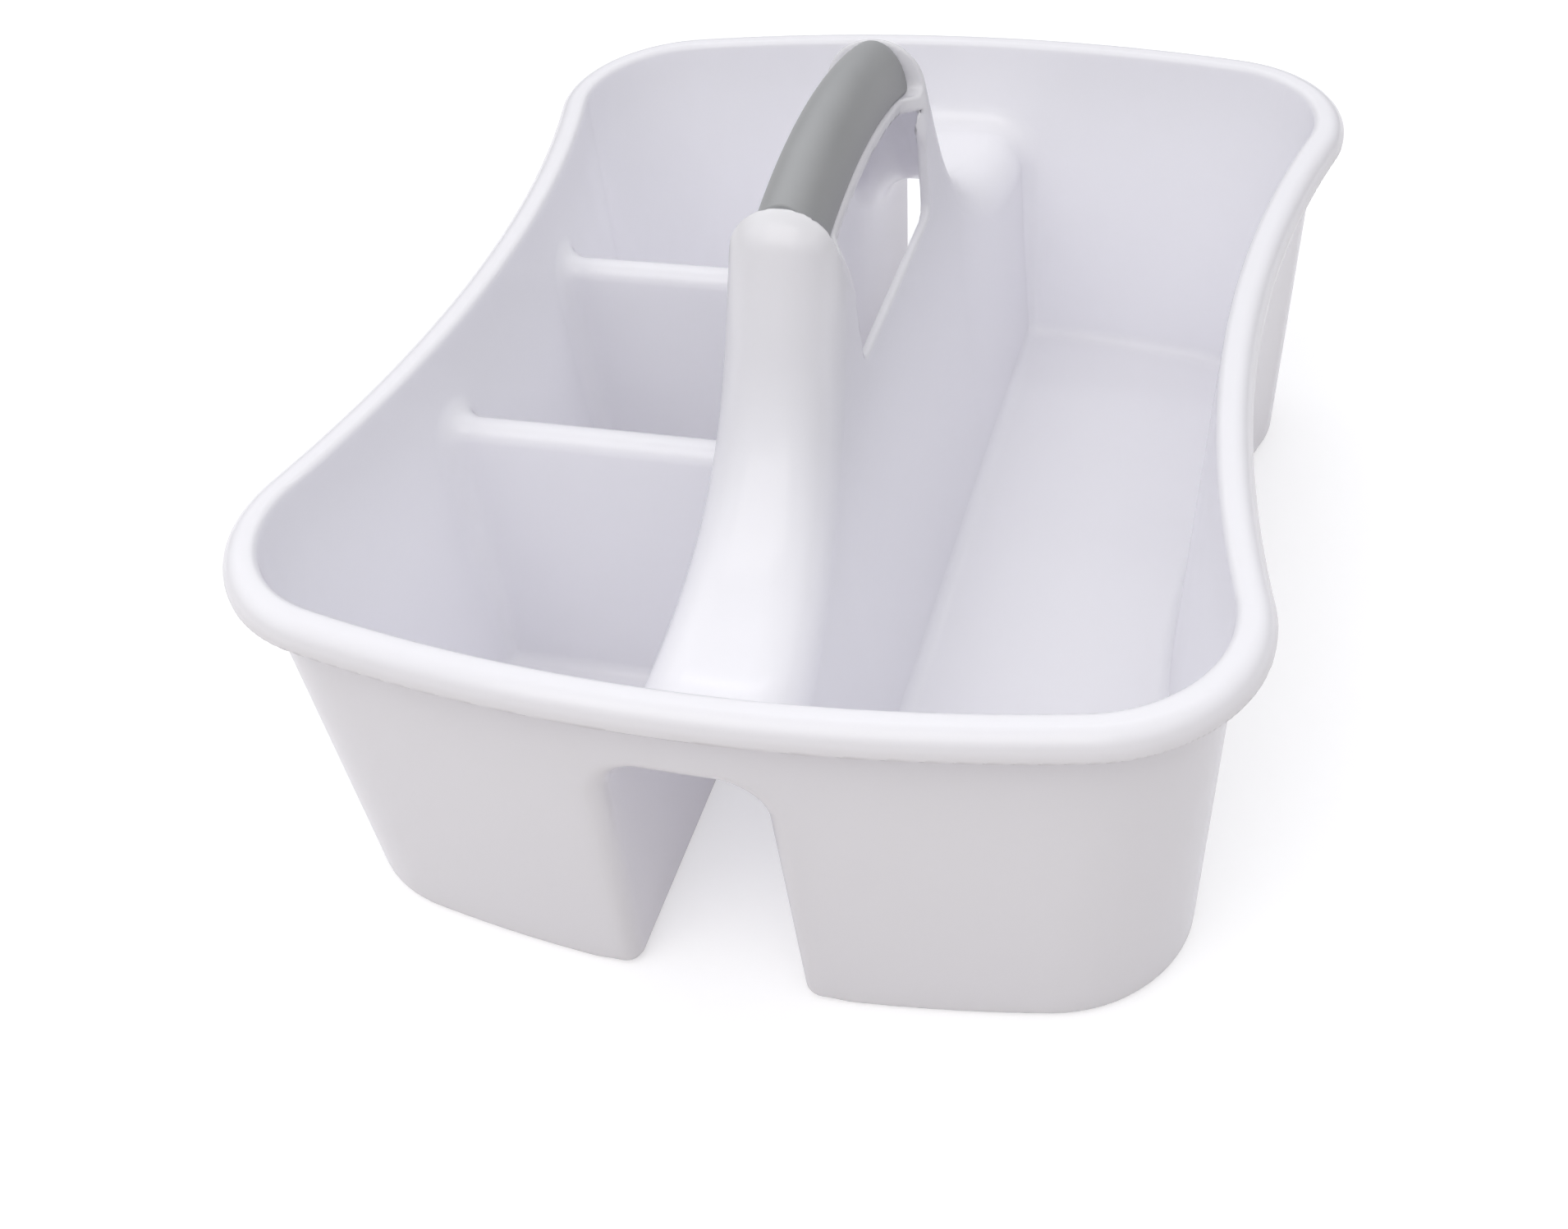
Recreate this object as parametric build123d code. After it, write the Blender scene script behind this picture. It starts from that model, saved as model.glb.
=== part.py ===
from build123d import *
import os
from math import asin, atan2, cos, degrees, radians, sin, sqrt, tan

# Cleaning caddy: a one-piece moulded tub with a hollow centre ridge that rises into a carry handle,
# and a separate soft grip on the handle's bridge.
# Millimetres.  X runs across the caddy, Y along the handle, Z up.  The origin is the middle of the
# rectangle that the caddy covers, on the surface that it stands on.

# Overall
overall_length = 440.4          # Y, over the rim
overall_width = 333.8           # X, over the rim
overall_height = 223.0          # to the crest of the grip
rim_height = 145.0              # to the top of the rim

# Plan of the rim: bowed ends, round corners and sides that curve in to a waist
rim_waist_depth = 18.5          # how far each side curves in
rim_corner_radius = 57.6
rim_end_radius = 560.0

# Plan of the walls where they meet the ground
base_end_inset = 16.2           # in from the rim, at each end
base_side_inset = 16.6          # in from the rim, at each side
base_waist_depth = 21.3
base_corner_radius = 51.0
base_end_radius = 540.0
foot_radius = 3.0               # rounding under the bins

# Moulded thickness
wall = 2.5
floor_thickness = 2.5

# Rim: a rolled band that stands out past the walls and is open underneath
rim_overhang = 9.5
rim_drop = 9.5
rim_outer_radius = 7.0
rim_inner_radius = 2.0

# Centre ridge, hollow from below and open at both ends
ridge_foot_width = 63.0         # between its two sides at the ground
ridge_side_angle = 3.6          # lean of each side from upright
ridge_end_height = 108.0        # crest where it meets the end walls
ridge_edge_radius = 15.0
flare_radius = 110.0            # where the crest starts to rise towards a post
post_face_angle = 66.0          # steepest slope of the crest, up the face of a post
shoulder_radius = 18.5          # where the top of a post turns into the handle's arch

# Handle: an arch between the two posts, with a window under it for the fingers
handle_radius = 215.0           # of the grip's crest line
bridge_depth = 23.5             # from the crest to the window
window_length = 100.0
window_depth = 72.0             # from the crest down to the sill
window_lower_radius = 8.0
window_upper_radius = 9.0

# Bridge under the grip: a lip along the window and a core that carries the grip
lip_reveal = 0.5                # how far the lip stands out past each side of the grip
lip_depth = 4.0
lip_radius = 1.5
core_side_cover = 3.0           # from each side of the core out to the grip's
core_cover = 3.5                # from the core's crest up to the grip's
core_crown_offset = 8.0         # how much tighter the core's crown is rounded than the grip's
core_wall = 2.5

# Grip
grip_length = 120.0
grip_width = 25.0
grip_crown_flat = 1.0           # width of the flat between the crown's two roundings
grip_clearance = 0.4            # between the grip and the core it is moulded over
grip_end_gap = 0.3              # between the grip's ends and the posts

# Dividers of the left-hand bin
divider_place = 57.0            # from the middle to each divider's centre line
divider_height = 115.0
divider_top_width = 13.0
divider_angle = 1.5             # lean of each face from upright
divider_edge_radius = 5.0

# Worked out from the sizes above
BIG = 2 * max(overall_length, overall_width, overall_height)
rim_waist = overall_width - 2 * rim_waist_depth
base_length = overall_length - 2 * base_end_inset
base_width = overall_width - 2 * base_side_inset
base_waist = base_width - 2 * base_waist_depth
handle_centre = overall_height - handle_radius
window_radius = handle_radius - bridge_depth
window_sill = overall_height - window_depth
lip_outer = window_radius + lip_depth
lip_width = grip_width + 2 * lip_reveal
core_width = grip_width - 2 * core_side_cover
core_top = handle_radius - core_cover
grip_crown_radius = (grip_width - grip_crown_flat) / 2
core_radius = grip_crown_radius - core_crown_offset
slot_radius = max(core_radius - core_wall, lip_radius)

# The crest, from the end of the grip outwards: a shoulder, a straight face, then the flare
seat_angle = asin(grip_length / 2 / handle_radius)
face_angle = radians(post_face_angle)
seat_height = handle_centre + handle_radius * cos(seat_angle)
shoulder_end = grip_length / 2 + shoulder_radius * (sin(face_angle) - sin(seat_angle))
shoulder_low = seat_height - shoulder_radius * (cos(seat_angle) - cos(face_angle))
flare_high = ridge_end_height + flare_radius * (1 - cos(face_angle))
flare_top = shoulder_end + (shoulder_low - flare_high) / tan(face_angle)
flare_start = flare_top + flare_radius * sin(face_angle)


def plan_face(length, width, waist, corner_radius, end_radius, inset, height):
    """Outline with bowed ends, round corners and sides curved in to a waist, all tangent arcs."""
    half_length = length / 2 - inset
    half_width = width / 2 - inset
    half_waist = waist / 2 - inset
    corner = corner_radius - inset
    end = end_radius - inset
    corner_x = half_width - corner
    end_y = half_length - end
    corner_y = end_y + sqrt((end - corner) ** 2 - corner_x**2)
    reach = half_waist - corner_x
    side = (reach**2 + corner_y**2 - corner**2) / (2 * (corner - reach))
    side_x = half_waist + side

    end_angle = atan2(corner_x, corner_y - end_y)
    side_angle = atan2(corner_y, side_x - corner_x)
    end_point = (end * sin(end_angle), end_y + end * cos(end_angle))
    side_point = (side_x - side * cos(side_angle), side * sin(side_angle))
    middle_angle = (end_angle + radians(90) + side_angle) / 2
    corner_point = (corner_x + corner * sin(middle_angle), corner_y + corner * cos(middle_angle))

    def arc(start, middle, finish):
        return Edge.make_three_point_arc(*[Vector(x, y, height) for x, y in (start, middle, finish)])

    def flip(point, x_sign, y_sign):
        return (x_sign * point[0], y_sign * point[1])

    edges = []
    for y_sign in (1, -1):
        crown = (0, y_sign * half_length)
        edges.append(arc(flip(end_point, -1, y_sign), crown, flip(end_point, 1, y_sign)))
    for x_sign in (1, -1):
        waist_point = (x_sign * half_waist, 0)
        edges.append(arc(flip(side_point, x_sign, 1), waist_point, flip(side_point, x_sign, -1)))
        for y_sign in (1, -1):
            corner_arc = [flip(p, x_sign, y_sign) for p in (end_point, corner_point, side_point)]
            edges.append(arc(*corner_arc))
    return Face(Wire(edges))


def rim_face(inset, height):
    return plan_face(
        overall_length, overall_width, rim_waist, rim_corner_radius, rim_end_radius, inset, height
    )


def base_face(inset, height):
    return plan_face(
        base_length, base_width, base_waist, base_corner_radius, base_end_radius, inset, height
    )


def drafted_block(inset):
    """The space inside the outer walls, or inside their inner faces when inset by the wall."""
    return loft([base_face(inset, 0), rim_face(rim_overhang + inset, rim_height)], ruled=True)


def ring(outer_inset, inner_inset, low, high):
    """An upright band between two insets of the rim's outline."""
    outer = extrude(rim_face(outer_inset, low), high - low, dir=(0, 0, 1))
    return outer - extrude(rim_face(inner_inset, low), high - low, dir=(0, 0, 1))


def round_outer_top(band, radius):
    """Round a band's outer top edge."""
    top = band.faces().sort_by(Axis.Z)[-1]
    return band.fillet(radius, top.outer_wire().edges())


def round_inner_top(tub, radius):
    """Round the edge where the inside of the walls meets the rim."""
    top = tub.faces().sort_by(Axis.Z)[-1]
    return tub.fillet(radius, top.inner_wires()[0].edges())


def side_profile(offset):
    """Side view of the ridge and handle, with its crest lowered by the offset."""
    shoulder_centre = (
        grip_length / 2 - shoulder_radius * sin(seat_angle),
        seat_height - shoulder_radius * cos(seat_angle),
    )
    flare_centre = (flare_start, ridge_end_height + flare_radius)
    end_top = (overall_length / 2, ridge_end_height - offset)
    end_foot = (overall_length / 2, -BIG)

    def arc(centre, radius, first, last):
        """Three points of an arc, each at its angle from straight up."""
        angles = (first, (first + last) / 2, last)
        return [(centre[0] + radius * sin(a), centre[1] + radius * cos(a)) for a in angles]

    arch = arc((0, handle_centre), handle_radius - offset, 0, seat_angle)
    shoulder = arc(shoulder_centre, shoulder_radius - offset, seat_angle, face_angle)
    flare = arc(flare_centre, -flare_radius - offset, face_angle, 0)

    def place(points, sign):
        return [Vector(0, sign * y, z) for y, z in points]

    edges = [Edge.make_line(*place([(-end_foot[0], end_foot[1]), end_foot], 1))]
    for sign in (1, -1):
        edges += [Edge.make_three_point_arc(*place(points, sign)) for points in (arch, shoulder, flare)]
        for line in ([shoulder[-1], flare[0]], [flare[-1], end_top], [end_top, end_foot]):
            edges.append(Edge.make_line(*place(line, sign)))
    return Face(Wire(edges))


def leaning_bar(foot_width, angle, low, high, length):
    """A long bar along Y whose two sides lean in by the angle from the ground up."""
    lean = tan(radians(angle))
    rising = [(foot_width / 2 - z * lean, z) for z in (low, high)]
    falling = [(-x, z) for x, z in reversed(rising)]
    return extrude(Plane.XZ * Polygon(*rising, *falling, align=None), length / 2, both=True)


def ridge_block(offset):
    """The ridge and handle as one solid, or the hollow under them when offset by the wall."""
    width = ridge_foot_width - 2 * offset / cos(radians(ridge_side_angle))
    sides = leaning_bar(width, ridge_side_angle, -wall, overall_height + wall, overall_length)
    block = sides & extrude(side_profile(offset), ridge_foot_width, both=True)
    crest = [
        edge
        for edge in block.edges()
        if edge.center().Z > ridge_end_height - offset - 1 and abs(edge.center().X) > 1
    ]
    return fillet(crest, ridge_edge_radius - offset)


def middle_block(half_length, low):
    """Everything above a height and within a distance of the middle, along the handle."""
    return Pos(0, 0, low) * Box(BIG, 2 * half_length, BIG, align=(Align.CENTER, Align.CENTER, Align.MIN))


def arch_disc(radius):
    """A disc from side to side of the caddy, centred on the handle's arch."""
    return Pos(0, 0, handle_centre) * Rot(0, 90, 0) * Cylinder(radius, BIG)


def arch_bar(width, inner_radius, outer_radius, crown_radius, foot_edge_radius, half_length):
    """A bar bent along the handle's arch, rounded along its crown and along its lower edges."""
    section = Rectangle(width, outer_radius - inner_radius)
    section = fillet(section.vertices().group_by(Axis.Y)[-1], crown_radius)
    if foot_edge_radius > 0:
        section = fillet(section.vertices().group_by(Axis.Y)[0], foot_edge_radius)
    section = Plane.XZ * Pos(0, handle_centre + (inner_radius + outer_radius) / 2) * section
    axis = Axis((0, 0, handle_centre), (1, 0, 0))
    reach = degrees(asin(half_length / inner_radius))
    bar = revolve(section.rotate(axis, -reach), axis, 2 * reach)
    return bar & middle_block(half_length, rim_height)


def window_block():
    """The opening for the fingers, through both sides of the ridge."""
    sill = window_sill - handle_centre
    opening = Rectangle(window_length, 2 * window_radius) & Circle(window_radius)
    opening &= Pos(0, sill + BIG / 2) * Rectangle(BIG, BIG)
    opening = fillet(opening.vertices().group_by(Axis.Y)[-1], window_upper_radius)
    opening = fillet(opening.vertices().group_by(Axis.Y)[0], window_lower_radius)
    face = Pos(0, 0, handle_centre) * (Plane.YZ * opening)
    return extrude(face, ridge_foot_width, both=True)


def divider_block(place, offset):
    """One divider as a solid bar across the left-hand bin, or the slot under it when offset."""
    angle = radians(divider_angle)
    foot_width = divider_top_width + 2 * divider_height * tan(angle) - 2 * offset / cos(angle)
    bar = leaning_bar(foot_width, divider_angle, -wall, divider_height - offset, overall_width)
    bar = fillet(bar.edges().filter_by(Axis.Y).group_by(Axis.Z)[-1], divider_edge_radius - offset)
    return Pos(-overall_width / 2, place, 0) * Rot(0, 0, 90) * bar


def make_rim(outside):
    """The rolled band round the top, down to its free edge."""
    low = rim_height - rim_drop
    band = round_outer_top(ring(0, rim_overhang + wall / 2, low, rim_height), rim_outer_radius)
    groove = ring(wall, rim_overhang + wall, low, rim_height - wall)
    groove = round_outer_top(groove, rim_outer_radius - wall)
    return band - (groove - outside)


def make_ridge(inside, ridge):
    """The ridge inside the bins, cut back to the posts where the bridge and the window are."""
    beside_grip = middle_block(grip_length / 2, rim_height) - arch_disc(lip_outer)
    beside_lip = middle_block(window_length / 2, rim_height) - arch_disc(window_radius)
    room = inside + middle_block(flare_start, rim_height - wall)
    return (ridge & room) - beside_grip - beside_lip - window_block()


def make_bridge(ridge):
    """The lip along the window and the core that the grip is moulded over."""
    reach = grip_length / 2 + wall
    lip = arch_bar(lip_width, window_radius, lip_outer, lip_radius, lip_radius, reach)
    core = arch_bar(core_width, window_radius, core_top, core_radius, 0, reach)
    slot_width = core_width - 2 * core_wall
    slot_low = window_radius - lip_depth
    slot = arch_bar(slot_width, slot_low, core_top - core_wall, slot_radius, 0, reach)
    return (lip + core) & ridge, slot


def make_body():
    """The tub with its rim, ridge, dividers and bridge: one moulding."""
    outside = drafted_block(0)
    inside = drafted_block(wall) & middle_block(overall_length, floor_thickness)
    ridge = ridge_block(0)
    hollow = ridge_block(wall) - (
        middle_block(grip_length / 2 + wall, rim_height) - arch_disc(window_radius)
    )
    body = round_inner_top(outside - inside + make_rim(outside), rim_inner_radius)
    body += make_ridge(inside, ridge)
    for place in (-divider_place, divider_place):
        body += divider_block(place, 0) & inside
    body -= hollow
    body = fillet(body.edges().group_by(Axis.Z)[0], foot_radius)
    for place in (-divider_place, divider_place):
        body -= (divider_block(place, wall) & drafted_block(wall)) - ridge
    bridge, slot = make_bridge(ridge)
    return body + bridge - slot


def make_grip():
    """The soft grip: a sleeve over the core, down to the lip on both sides."""
    half_length = grip_length / 2 - grip_end_gap
    low = lip_outer + grip_clearance
    sleeve = arch_bar(grip_width, low, handle_radius, grip_crown_radius, 0, half_length)
    room = arch_bar(
        core_width + 2 * grip_clearance,
        window_radius,
        core_top + grip_clearance,
        core_radius + grip_clearance,
        0,
        grip_length / 2,
    )
    return sleeve - room


os.makedirs("parts", exist_ok=True)
export_step(make_body(), "parts/caddy_body.step")
export_step(make_grip(), "parts/handle_grip.step")
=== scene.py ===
import math

import bpy
import numpy as np
from mathutils import Matrix, Vector


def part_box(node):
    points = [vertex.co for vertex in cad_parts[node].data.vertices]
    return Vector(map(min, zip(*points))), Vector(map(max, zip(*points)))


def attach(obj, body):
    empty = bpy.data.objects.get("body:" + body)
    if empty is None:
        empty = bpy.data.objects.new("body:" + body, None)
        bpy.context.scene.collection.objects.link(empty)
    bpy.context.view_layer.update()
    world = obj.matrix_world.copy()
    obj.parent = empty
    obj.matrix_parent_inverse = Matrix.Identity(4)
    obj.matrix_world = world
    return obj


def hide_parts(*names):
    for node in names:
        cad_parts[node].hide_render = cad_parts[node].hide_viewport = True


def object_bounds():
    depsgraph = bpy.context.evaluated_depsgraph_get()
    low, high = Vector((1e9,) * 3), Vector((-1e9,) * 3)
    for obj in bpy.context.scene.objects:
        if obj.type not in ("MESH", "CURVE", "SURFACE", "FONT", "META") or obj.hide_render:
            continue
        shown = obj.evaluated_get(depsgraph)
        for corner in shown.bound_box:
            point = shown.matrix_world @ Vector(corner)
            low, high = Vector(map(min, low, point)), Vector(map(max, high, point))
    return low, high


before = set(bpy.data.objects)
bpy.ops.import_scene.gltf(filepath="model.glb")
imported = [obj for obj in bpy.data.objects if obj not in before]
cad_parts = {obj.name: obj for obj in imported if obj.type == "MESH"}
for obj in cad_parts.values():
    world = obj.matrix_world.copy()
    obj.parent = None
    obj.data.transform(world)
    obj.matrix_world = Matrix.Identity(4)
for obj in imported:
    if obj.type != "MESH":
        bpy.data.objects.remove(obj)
cad_low, cad_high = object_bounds()
scene = bpy.context.scene

# ---------------------------------------------------------------------------
# The tub: one glossy white polypropylene injection moulding, with a constant skin. Rim, bins, ridge and
# posts are one flowing surface, so each is a depth in millimetres that is blended with its neighbours.
# The hollow ridge, the slots under the dividers and the open rim follow from the skin's thickness.
# ---------------------------------------------------------------------------
body_low, body_high = [np.array(corner) * 1000 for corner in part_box("caddy_body")]
grip_low, grip_high = [np.array(corner) * 1000 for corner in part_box("handle_grip")]
half_width, half_length = (body_high - body_low)[:2] / 2
crest_height = grip_high[2]

skin = 2.5
rim_top = 145.0
rim_free_edge = 135.4                   # height of the rolled rim's lower edge
rim_roll = 7.0
rim_outline = dict(waist=18.5, corner=57.6, end=560.0)
foot_outline = dict(waist=21.3, corner=51.0, end=540.0)
foot_inset = (16.6, 16.2)
rim_overhang = 9.5
floor_fillet = 5.0

arch_radius = 215.0                     # the handle's crest, seen from the side
arch_centre = crest_height - arch_radius
grip_end = 60.0                         # half the length between the posts' seats
arch_seat = math.asin(grip_end / arch_radius)
shoulder_radius = 18.5
face_angle = math.radians(66.0)
low_crest = 108.0                       # the ridge's ends, at either end wall
flare_radius = 110.0
shoulder_y = grip_end - shoulder_radius * math.sin(arch_seat)
shoulder_z = arch_centre + (arch_radius - shoulder_radius) * math.cos(arch_seat)

post_half = 19.6                        # half the post's thickness at the crest
post_spread = 11.9                      # what its foot adds to that
ridge_half = 31.5                       # half the ridge's thickness at an end wall, on the ground
ridge_draft = 0.032
ridge_blend = (90.0, 195.0)             # where the post's section turns into the end's
ridge_rounding = 19.0

divider_place = 57.0
divider_top = 115.0
divider_half = 6.5
divider_draft = 0.026
divider_rounding = 6.2

window_half = 50.0
window_sill = 151.0
window_lean = 0.07
window_radius = 190.4                   # the underside of the bridge
window_corners = (5.0, 17.0)            # at the sill and under the bridge
lip_radius = 195.8                      # the ledge that the grip sits on
lip_half = 13.0


def meet(a, b, radius):
    """The depth inside both shapes, with the edge between them rounded."""
    edge = np.hypot(np.maximum(a + radius, 0), np.maximum(b + radius, 0))
    return np.minimum(np.maximum(a, b), -radius) + edge


def join(a, b, radius):
    """The depth inside either shape, with a fillet in the corner between them."""
    return -meet(-a, -b, radius)


def outline_depth(x, y, half_x, half_y, waist, corner, end):
    """Depth inside a plan of two bowed ends, four round corners and two waisted sides."""
    x, y = np.abs(x), np.abs(y)
    corner_x, end_y = half_x - corner, half_y - end
    corner_y = end_y + np.sqrt((end - corner) ** 2 - corner_x**2)
    reach = corner - waist
    side = (reach**2 + corner_y**2 - corner**2) / (2 * (corner - reach))
    side_x = half_x - waist + side
    from_end = end - np.hypot(x, y - end_y)
    from_side = np.hypot(x - side_x, y) - side
    from_corner = corner - np.hypot(x - corner_x, y - corner_y)
    beyond_end = (x - corner_x) * (corner_y - end_y) > (y - corner_y) * corner_x
    beyond_side = (side_x - corner_x) * (y - corner_y) + corner_y * (x - corner_x) > 0
    return np.where(beyond_end & beyond_side, from_corner, np.minimum(from_end, from_side))


def rim_depth(x, y):
    return outline_depth(x, y, half_width, half_length, **rim_outline)


def wall_depth(x, y, z):
    """Depth inside the drafted outer walls."""
    t = z / rim_top
    insets = [foot + (rim_overhang - foot) * t for foot in foot_inset]
    top = dict(
        waist=rim_outline["waist"],
        corner=rim_outline["corner"] - rim_overhang,
        end=rim_outline["end"] - rim_overhang,
    )
    sizes = {name: foot_outline[name] + (top[name] - foot_outline[name]) * t for name in top}
    return outline_depth(x, y, half_width - insets[0], half_length - insets[1], **sizes)


def smooth(t):
    t = np.clip(t, 0, 1)
    return t * t * (3 - 2 * t)


def crest_profile(y, z):
    """Side view of the ridge: a low crest that flares up each post, over a shoulder, into the arch."""
    y = np.abs(y)
    arch = np.hypot(y, z - arch_centre) - arch_radius
    dy, dz = y - shoulder_y, z - shoulder_z
    face = dy * math.sin(face_angle) + dz * math.cos(face_angle) - shoulder_radius
    angle = np.arctan2(dy, dz)
    on_shoulder = (angle > arch_seat) & (angle < face_angle)
    post = np.where(on_shoulder, np.hypot(dy, dz) - shoulder_radius, np.maximum(arch, face))
    low = z - low_crest
    a, b, c = flare_radius - post, flare_radius - low, math.cos(face_angle)
    flare = flare_radius - np.sqrt(np.maximum(a * a + b * b - 2 * a * b * c, 0)) / math.sin(face_angle)
    in_flare = (b > a * c) & (a > b * c) & (a > 0) & (b > 0)
    return np.where(in_flare, flare, np.minimum(post, low))


def ridge_shape(x, y, z):
    """The ridge and its posts: a tall flared section in the middle, an even drafted one at the ends."""
    first, last = ridge_blend
    end = smooth((np.abs(y) - first) / (last - first))
    tall = post_half + post_spread * np.clip(1 - z / crest_height, 0, 2) ** 1.7
    sides = np.abs(x) - (tall + (ridge_half - ridge_draft * z - tall) * end)
    return meet(sides, crest_profile(y, z), ridge_rounding - 2.0 * end)


def divider_shape(x, y, z):
    """The two low dividers on the left, which run into the ridge."""
    across = np.abs(np.abs(y) - divider_place)
    sides = across - (divider_half + (divider_top - z) * divider_draft)
    bar = meet(sides, z - divider_top, divider_rounding)
    return np.maximum(bar, x + 10.0)


def bins_shape(x, y, z):
    """The air in the bins: inside the walls, above the floors, clear of the ridge and the dividers."""
    rise = smooth((z - 12) / 50)
    air = meet(skin - wall_depth(x, y, z), skin - z, floor_fillet)
    air = meet(air, -ridge_shape(x, y, z), floor_fillet + 5.0 * rise)
    return meet(air, -divider_shape(x, y, z), floor_fillet + 3.5 * rise)


def bridge_core(x, y, z):
    """The upright core inside the grip, with the slot that hollows it from below."""
    radius = np.hypot(y, z - arch_centre)
    core_half, core_top = 8.0, 210.0
    core = meet(np.abs(x) - core_half, np.maximum(radius - core_top, 192.0 - radius), 4.0)
    slot = meet(np.abs(x) - (core_half - skin), radius - (core_top - skin), 2.0)
    return np.maximum(core, np.abs(y) - (grip_end + 2.0)), np.maximum(slot, np.abs(y) - grip_end)


def window_shape(y, z):
    """Side view of the finger opening: a flat sill, upright ends and an arched top."""
    radius = np.hypot(y, z - arch_centre)
    lean = window_lean * (z - window_sill)
    ends = meet(np.abs(y) - window_half - lean, window_sill - z, window_corners[0])
    return meet(ends, radius - window_radius, window_corners[1])


def skin_below(x, y, z, ridge, window, above):
    """The air under the moulding: the hollow ridge, the dividers' slots and all that is outside the walls."""
    radius = np.hypot(y, z - arch_centre)
    walls, rim = wall_depth(x, y, z), rim_depth(x, y)
    bridge_zone = np.maximum(np.maximum(np.abs(y) - (grip_end + 2.5), window_radius - radius), above)
    thick = skin + 1.4 * smooth((9.0 - np.maximum(window, 0)) / 9.0)
    hollow = np.maximum(ridge + thick, -bridge_zone)
    under_divider = np.maximum(np.maximum(divider_shape(x, y, z) + skin, -ridge), skin - walls)
    inside_rim = np.minimum(meet(skin - rim, z - rim_top + skin, rim_roll - skin), z - rim_free_edge)
    hollow = join(hollow, np.maximum(walls, inside_rim), 7.0)
    foot_edge = 4.5 - 1.7 * smooth((np.abs(x) - 36) / 10)
    return join(np.minimum(hollow, under_divider), z, foot_edge)


def lip_cuts(x, y, z, above):
    """What is cut from the ridge block between the posts, over and beside the lip that carries the grip."""
    radius, along = np.hypot(y, z - arch_centre), np.abs(y)
    between_posts = along - (grip_end + 0.2)
    over = np.maximum(meet(between_posts, lip_radius - radius, 6.0), above)
    half = lip_half + 6.5 * smooth((along - 44.0) / 18.0)
    half += 0.35 * np.maximum(196.0 - radius, 0) * smooth((along - 44.0) / 10.0)
    beside = np.maximum(np.maximum(between_posts, 178.0 - radius), np.maximum(half - np.abs(x), above))
    return over, beside


def tub_shape(p):
    """Distance from the finished moulding's surface, negative inside the plastic."""
    x, y, z = p[..., 0], p[..., 1], p[..., 2]
    ridge, rim = ridge_shape(x, y, z), rim_depth(x, y)
    window = np.maximum(window_shape(y, z), np.abs(x) - 40)
    above = rim_top - z
    upper = meet(meet(-rim, z - rim_top, rim_roll), -bins_shape(x, y, z), 2.4)
    upper = np.where(z > rim_top - 12, np.minimum(upper, ridge), upper)
    solid = meet(upper, -skin_below(x, y, z, ridge, window, above), 1.2)
    over_lip, beside_lip = lip_cuts(x, y, z, above)
    solid = meet(meet(solid, -over_lip, 1.2), -beside_lip, 1.5)
    core, slot = bridge_core(x, y, z)
    solid = np.maximum(np.minimum(solid, core), -slot)
    return meet(solid, -window, 1.3)


def surface_net(shape, low, high, step):
    """Points and quads of the surface where the shape is zero, on a grid that is the same at both ends.

    Only the blocks of cells that the surface can pass through are sampled finely.
    """
    block = 4
    blocks = np.ceil((high - low) / step / block).astype(int) + 1
    blocks[1] += blocks[1] % 2
    counts = blocks * block + 1
    start = (low + high) / 2 - (counts - 1) / 2 * step
    centres = np.stack(np.meshgrid(*[start[a] + step * block * (np.arange(blocks[a]) + 0.5)
                                     for a in range(3)], indexing="ij"), -1)
    rough = shape(centres)
    near = np.abs(rough) < step * block
    values = np.ones(counts, np.float32)
    sampled = np.zeros(counts, bool)
    for i, j, k in np.ndindex(block + 1, block + 1, block + 1):
        place = tuple(slice(o, o + n * block, block) for o, n in zip((i, j, k), blocks))
        sampled[place] |= near
        values[place] = np.where(rough < 0, -1, 1)
    sampled[:, :counts[1] // 2] = False
    nodes = np.argwhere(sampled)
    for part in np.array_split(nodes, len(nodes) // 200000 + 1):
        values[tuple(part.T)] = shape(start + step * part)
    values[:, :counts[1] // 2] = values[:, :counts[1] // 2:-1]
    inside = values < 0
    corners = [(i, j, k) for i in (0, 1) for j in (0, 1) for k in (0, 1)]
    cut = [slice(0, -1), slice(1, None)]
    count = sum(inside[cut[i], cut[j], cut[k]].astype(np.int8) for i, j, k in corners)
    cells = np.argwhere((count > 0) & (count < 8))
    number = np.full(np.array(counts) - 1, -1, np.int64)
    number[tuple(cells.T)] = np.arange(len(cells))
    total, crossings = np.zeros((len(cells), 3)), np.zeros(len(cells))
    for a in range(3):
        for u in (0, 1):
            for v in (0, 1):
                first = np.insert(np.array([u, v]), a, 0)
                last = np.insert(np.array([u, v]), a, 1)
                f0 = values[tuple((cells + first).T)].astype(float)
                f1 = values[tuple((cells + last).T)].astype(float)
                hit = (f0 < 0) != (f1 < 0)
                t = np.where(hit, f0 / np.where(hit, f0 - f1, 1), 0)
                total += hit[:, None] * (first + t[:, None] * (last - first))
                crossings += hit
    points = start + step * (cells + total / crossings[:, None])
    quads = []
    for a in range(3):
        b, c = (a + 1) % 3, (a + 2) % 3
        lower = [slice(None)] * 3
        upper = [slice(None)] * 3
        lower[a], upper[a] = slice(0, -1), slice(1, None)
        change = inside[tuple(lower)] != inside[tuple(upper)]
        edge = np.argwhere(change)
        edge = edge[(edge[:, b] > 0) & (edge[:, c] > 0)]
        edge = edge[(edge[:, b] < counts[b] - 1) & (edge[:, c] < counts[c] - 1)]
        ring = []
        for shift_b, shift_c in ((-1, -1), (0, -1), (0, 0), (-1, 0)):
            cell = edge.copy()
            cell[:, b] += shift_b
            cell[:, c] += shift_c
            ring.append(number[tuple(cell.T)])
        faces = np.stack(ring, 1)
        outward = inside[tuple(edge.T)]
        quads.append(np.where(outward[:, None], faces, faces[:, ::-1]))
    return points, np.concatenate(quads)


def slope(shape, points, reach=0.05):
    """Gradient of the shape at each point, from four samples round it."""
    offsets = np.array([(1, 1, 1), (1, -1, -1), (-1, 1, -1), (-1, -1, 1)], float)
    return sum(shape(points + o * reach)[:, None] * o for o in offsets) / (4 * reach)


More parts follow.
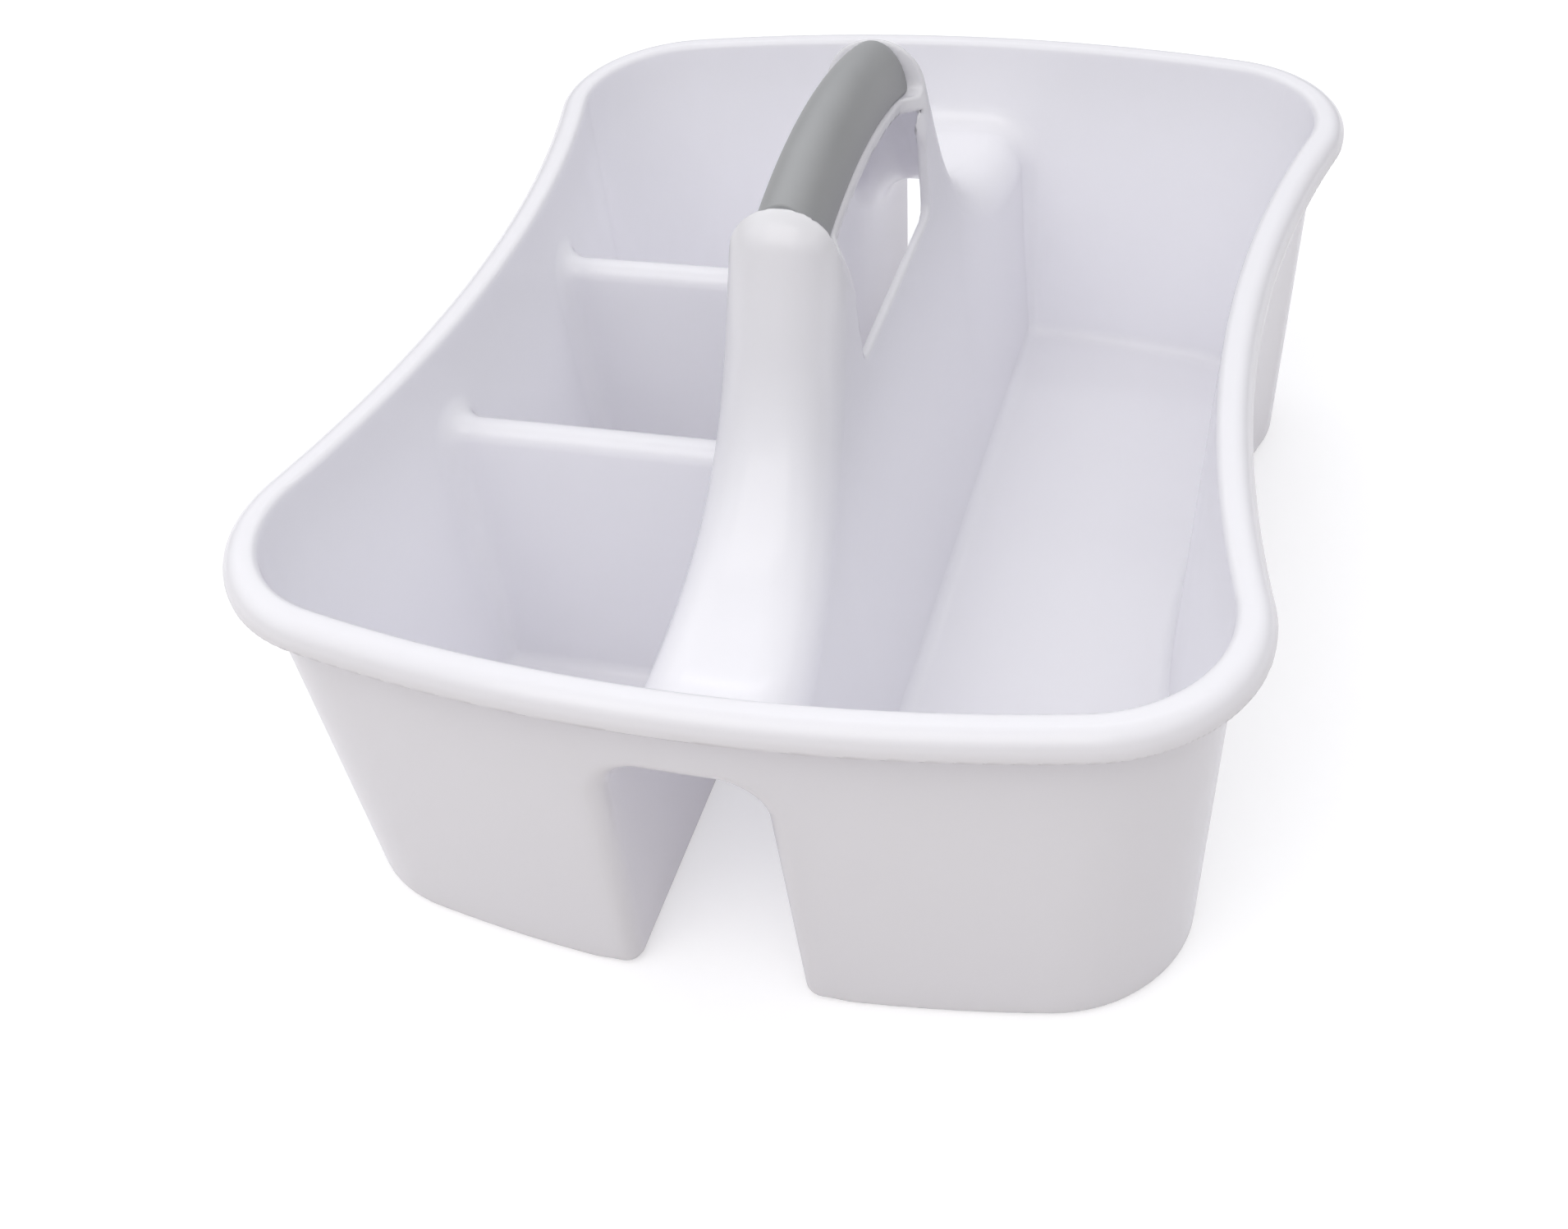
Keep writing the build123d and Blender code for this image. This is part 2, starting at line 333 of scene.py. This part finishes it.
def settle(shape, points, step, rounds):
    """Moves each point on to the surface."""
    for _ in range(rounds):
        gradient = slope(shape, points)
        steep = np.maximum((gradient**2).sum(1), 0.25)
        move = -(shape(points) / steep)[:, None] * gradient
        size = np.maximum(np.linalg.norm(move, axis=1), 1e-9)
        points = points + move * np.minimum(1, 0.5 * step / size)[:, None]
    return points


def build_mesh(name, points, faces):
    """A mesh in metres from points in millimetres."""
    mesh = bpy.data.meshes.new(name)
    mesh.vertices.add(len(points))
    mesh.vertices.foreach_set("co", (points / 1000).astype(np.float32).ravel())
    size = faces.shape[1]
    mesh.loops.add(faces.size)
    mesh.loops.foreach_set("vertex_index", faces.astype(np.int32).ravel())
    mesh.polygons.add(len(faces))
    mesh.polygons.foreach_set("loop_start", np.arange(0, faces.size, size, dtype=np.int32))
    mesh.update(calc_edges=True)
    mesh.validate()
    piece = bpy.data.objects.new(name, mesh)
    scene.collection.objects.link(piece)
    return piece


def thin_out(piece, triangles):
    """Collapses the mesh to a triangle budget."""
    count = sum(len(face.vertices) - 2 for face in piece.data.polygons)
    if count > triangles:
        reduce = piece.modifiers.new("reduce", "DECIMATE")
        reduce.ratio = triangles / count
        evaluated = piece.evaluated_get(bpy.context.evaluated_depsgraph_get())
        old = piece.data
        piece.data = bpy.data.meshes.new_from_object(evaluated)
        piece.modifiers.clear()
        bpy.data.meshes.remove(old)
        piece.data.name = piece.name


def shade_from(piece, shape):
    """Smooth shading with normals taken from the shape."""
    mesh = piece.data
    points = np.empty(len(mesh.vertices) * 3, np.float32)
    mesh.vertices.foreach_get("co", points)
    normals = slope(shape, points.reshape(-1, 3).astype(float) * 1000)
    normals /= np.maximum(np.linalg.norm(normals, axis=1), 1e-9)[:, None]
    mesh.polygons.foreach_set("use_smooth", np.ones(len(mesh.polygons), bool))
    mesh.normals_split_custom_set_from_vertices(normals.tolist())


step = 1.35
tub_low, tub_high = body_low - 3, body_high + 3
tub_points, tub_faces = surface_net(tub_shape, tub_low, tub_high, step)
tub_points = settle(tub_shape, tub_points, step, 2)
tub = build_mesh("tub", tub_points, tub_faces)
thin_out(tub, 185000)
shade_from(tub, tub_shape)
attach(tub, "root")
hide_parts("caddy_body")


class Nodes:
    """A material's node tree, and a socket in it that takes part in ordinary arithmetic."""

    def __init__(self, tree, socket=None):
        self.tree, self.socket = tree, socket

    def add(self, kind, settings=None, output=0, **values):
        node = self.tree.nodes.new(kind)
        for key, value in (settings or {}).items():
            setattr(node, key, value)
        for key, value in values.items():
            slot = node.inputs[int(key[1:]) if key[0] == "_" and key[1:].isdigit() else key.replace("_", " ")]
            if isinstance(value, Nodes):
                self.tree.links.new(value.socket, slot)
            else:
                slot.default_value = value
        return Nodes(self.tree, node.outputs[output] if node.outputs else None)

    def maths(self, operation, other=0.0):
        return self.add("ShaderNodeMath", {"operation": operation}, _0=self, _1=other)

    def __add__(self, other):
        return self.maths("ADD", other)

    def __sub__(self, other):
        return self.maths("SUBTRACT", other)

    def __mul__(self, other):
        return self.maths("MULTIPLY", other)

    __radd__, __rmul__ = __add__, __mul__

    def __rsub__(self, other):
        return self * -1.0 + other


def new_material(name):
    material = bpy.data.materials.new(name)
    material.use_nodes = True
    material.node_tree.nodes.clear()
    return material, Nodes(material.node_tree)


white, w = new_material("white_moulding")
where = w.add("ShaderNodeTexCoord", output=3)
grain = w.add("ShaderNodeTexNoise", Vector=where, Scale=900.0, Detail=2.0)
swell = w.add("ShaderNodeTexNoise", Vector=where, Scale=28.0, Detail=1.0)
clouds = w.add("ShaderNodeTexNoise", Vector=where, Scale=9.0, Detail=3.0)
tint = w.add("ShaderNodeMix", {"data_type": "RGBA"}, output=2, Factor=clouds,
             _6=(0.952, 0.952, 0.972, 1), _7=(0.966, 0.966, 0.982, 1))
relief = grain * 0.12 + swell * 1.0
bump = w.add("ShaderNodeBump", Height=relief, Strength=0.10, Distance=0.0004)
plastic = w.add("ShaderNodeBsdfPrincipled", Base_Color=tint, Roughness=0.12 + clouds * 0.07, Normal=bump,
                IOR=1.49)
through = w.add("ShaderNodeBsdfTranslucent", Color=(0.97, 0.96, 1.0, 1), Normal=bump)
w.add("ShaderNodeOutputMaterial", Surface=w.add("ShaderNodeMixShader", _0=0.30, _1=plastic, _2=through))
tub.data.materials.clear()
tub.data.materials.append(white)

# ---------------------------------------------------------------------------
# The grip: a mid-grey thermoplastic elastomer sleeve moulded over the bridge, between the two posts.
# Its section is a deep half-oval that follows the arch; it stops square against both posts.
# ---------------------------------------------------------------------------
grip_half = 12.3
grip_widest = 196.5                     # radius at which the oval is full width
grip_seat = 195.9                       # radius of its flat underside, on the lip
grip_clearance = 0.4


def grip_shape(p):
    x, y, z = p[..., 0], p[..., 1], p[..., 2]
    radius = np.hypot(y, z - arch_centre)
    deep = (radius - grip_widest) / (arch_radius - grip_widest)
    wide = x / grip_half
    oval = (np.sqrt(wide**2 + np.maximum(deep, 0) ** 2 + 1e-9) - 1) * 13.0
    outside = meet(oval, grip_seat - radius, 1.2)
    return meet(outside, np.abs(y) - (grip_end - grip_clearance), 0.5)


grip_step = 0.8
grip_points, grip_faces = surface_net(grip_shape, grip_low - 2, grip_high + 2, grip_step)
grip_points = settle(grip_shape, grip_points, grip_step, 3)
grip = build_mesh("grip", grip_points, grip_faces)
thin_out(grip, 60000)
shade_from(grip, grip_shape)
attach(grip, "root")
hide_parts("handle_grip")

grey, g = new_material("grey_elastomer")
where = g.add("ShaderNodeTexCoord", output=3)
fine = g.add("ShaderNodeTexNoise", Vector=where, Scale=1600.0, Detail=3.0)
patches = g.add("ShaderNodeTexNoise", Vector=where, Scale=45.0, Detail=3.0)
tint = g.add("ShaderNodeMix", {"data_type": "RGBA"}, output=2, Factor=patches,
             _6=(0.32, 0.327, 0.335, 1), _7=(0.36, 0.367, 0.375, 1))
bump = g.add("ShaderNodeBump", Height=fine, Strength=0.25, Distance=0.0002)
rubber = g.add("ShaderNodeBsdfPrincipled", Base_Color=tint, Roughness=0.42 + patches * 0.12, Normal=bump,
               IOR=1.47)
g.add("ShaderNodeOutputMaterial", Surface=rubber)
grip.data.materials.clear()
grip.data.materials.append(grey)

# ---------------------------------------------------------------------------
# Where it stands: a plain pale floor under a soft studio sky, with one large lamp above the near end and a
# narrow strip beyond the far end. The camera looks down on the near end from the right.
# ---------------------------------------------------------------------------
floor_mesh = bpy.data.meshes.new("floor")
reach = 6.0
floor_mesh.from_pydata([(-reach, -reach, 0), (reach, -reach, 0), (reach, reach, 0), (-reach, reach, 0)], [],
                       [(0, 1, 2, 3)])
floor = bpy.data.objects.new("floor", floor_mesh)
floor.location.z = cad_low.z - 0.0002
scene.collection.objects.link(floor)
pale, f = new_material("pale_floor")
rays = [f.add("ShaderNodeLightPath", output=kind) for kind in (0, 3, 6)]
seen = rays[0] + rays[1] + rays[2]
tone = f.add("ShaderNodeMix", {"data_type": "RGBA"}, output=2, Factor=seen,
             _6=(0.58, 0.54, 0.50, 1), _7=(0.74, 0.74, 0.75, 1))
lit = f.add("ShaderNodeBsdfDiffuse", Color=tone)
lift = f.add("ShaderNodeEmission", Color=(1, 1, 1, 1), Strength=seen * 0.37)
f.add("ShaderNodeOutputMaterial", Surface=f.add("ShaderNodeAddShader", _0=lit, _1=lift))
floor.data.materials.append(pale)


def add_lamp(name, place, aim, size, power, colour=(1, 1, 1)):
    data = bpy.data.lights.new(name, "AREA")
    data.shape, data.size, data.size_y = "RECTANGLE", *size
    data.energy, data.color = power, colour
    lamp = bpy.data.objects.new(name, data)
    lamp.location = place
    lamp.rotation_euler = (Vector(aim) - Vector(place)).to_track_quat("-Z", "Y").to_euler()
    scene.collection.objects.link(lamp)


add_lamp("front", (-0.15, -1.3, 2.05), (0, 0, 0.1), (2.2, 1.5), 16, (1, 0.97, 0.93))
add_lamp("strip", (0.0, 0.9, 2.2), (0, 0, 0.1), (2.0, 0.03), 3)

world = bpy.data.worlds.new("studio")
scene.world = world
world.use_nodes = True
world.node_tree.nodes.clear()
s = Nodes(world.node_tree)
way = s.add("ShaderNodeTexCoord")
across, along, height = [s.add("ShaderNodeSeparateXYZ", output=axis, Vector=way) for axis in range(3)]
sky = s.add("ShaderNodeMapRange", {"interpolation_type": "SMOOTHSTEP"}, Value=height,
            _1=0.10, _2=0.70, _3=0.05, _4=1.18)
zenith = s.add("ShaderNodeMapRange", {"interpolation_type": "SMOOTHSTEP"}, Value=height,
               _1=0.70, _2=1.0, _3=0.0, _4=0.46)
glow = sky - zenith + along * 0.03 + across * -0.12
is_camera = s.add("ShaderNodeLightPath", output=0)
room = s.add("ShaderNodeBackground", Color=(0.975, 0.98, 1.0, 1), Strength=glow)
white_out = s.add("ShaderNodeBackground", Color=(1, 1, 1, 1), Strength=1.0)
s.add("ShaderNodeOutputWorld", Surface=s.add("ShaderNodeMixShader", _0=is_camera, _1=room, _2=white_out))

azimuth, elevation, roll = math.radians(20.69), math.radians(41.44), math.radians(-6.89)
back = Vector((math.sin(azimuth) * math.cos(elevation), -math.cos(azimuth) * math.cos(elevation),
               math.sin(elevation)))
right = Vector((math.cos(azimuth), math.sin(azimuth), 0))
up = back.cross(right)
turned_right = right * math.cos(roll) + up * math.sin(roll)
turned_up = up * math.cos(roll) - right * math.sin(roll)
camera_place = (0.16981, -0.55002, 0.50141)
camera_data = bpy.data.cameras.new("camera")
camera_data.sensor_width = 36.0
camera_data.lens = 42.11
camera = bpy.data.objects.new("camera", camera_data)
camera.matrix_world = Matrix.Translation(camera_place) @ Matrix(
    (turned_right, turned_up, back)).transposed().to_4x4()
scene.collection.objects.link(camera)
scene.camera = camera
scene.view_settings.view_transform = "Standard"
scene.cycles.max_bounces = scene.cycles.diffuse_bounces = 14
